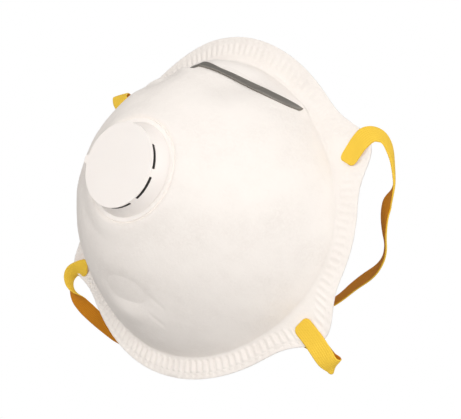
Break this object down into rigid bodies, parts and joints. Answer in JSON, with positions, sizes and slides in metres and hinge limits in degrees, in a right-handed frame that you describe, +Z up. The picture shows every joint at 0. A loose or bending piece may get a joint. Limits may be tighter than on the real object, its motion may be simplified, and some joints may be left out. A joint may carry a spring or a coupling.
{
  "type": "disposable dust mask",
  "caption": "Moulded cup dust mask with a welded flange, front exhalation valve, nose clip and two elastic head straps.",
  "frame": {"origin": "middle of the face seal, on the mask's centre plane, between nose and chin", "axes": "+X towards the wearer's left, +Y back towards the face, +Z up towards the nose; the valve looks along -Y"},
  "size_m": [0.1562, 0.1295, 0.1458],
  "materials": {
    "cover_fabric": "matt spunbond nonwoven",
    "filter_fabric": "matt meltblown web",
    "shell_fabric": "matt moulded needle felt",
    "liner_fabric": "soft matt nonwoven",
    "clip_metal": "satin rolled strip",
    "foam": "open cell foam",
    "valve_plastic": "fine matt moulded",
    "flap_silicone": "satin silicone",
    "strap_elastic": "woven elastic"
  },
  "bodies": {
    "cup": {"outer_cover": "cover_fabric", "filter_media": "filter_fabric", "support_shell": "shell_fabric", "inner_liner": "liner_fabric", "nose_clip": "clip_metal", "nose_foam": "foam", "valve_seat": "valve_plastic", "valve_cover": "valve_plastic", "valve_retainer": "valve_plastic", "upper_strap_end_left": "strap_elastic", "upper_strap_end_right": "strap_elastic", "lower_strap_end_left": "strap_elastic", "lower_strap_end_right": "strap_elastic"},
    "flap": {"valve_flap": "flap_silicone"},
    "upper_loop": {"upper_strap": "strap_elastic"},
    "lower_loop": {"lower_strap": "strap_elastic"}
  },
  "joints": [
    {"name": "flap_lift", "type": "hinge", "parent": "cup", "child": "flap", "pos_m": [0, -0.05, 0.0125], "axis": [-1, 0, 0], "range_deg": [0, 8], "stiffness_Nm_per_rad": 0.0004},
    {"name": "upper_strap_swing", "type": "hinge", "parent": "cup", "child": "upper_loop", "pos_m": [0, 0.003, 0.0388], "axis": [1, 0, 0], "range_deg": [0, 70]},
    {"name": "lower_strap_swing", "type": "hinge", "parent": "cup", "child": "lower_loop", "pos_m": [0, 0.0044, -0.0462], "axis": [1, 0, 0], "range_deg": [0, 50]}
  ]
}
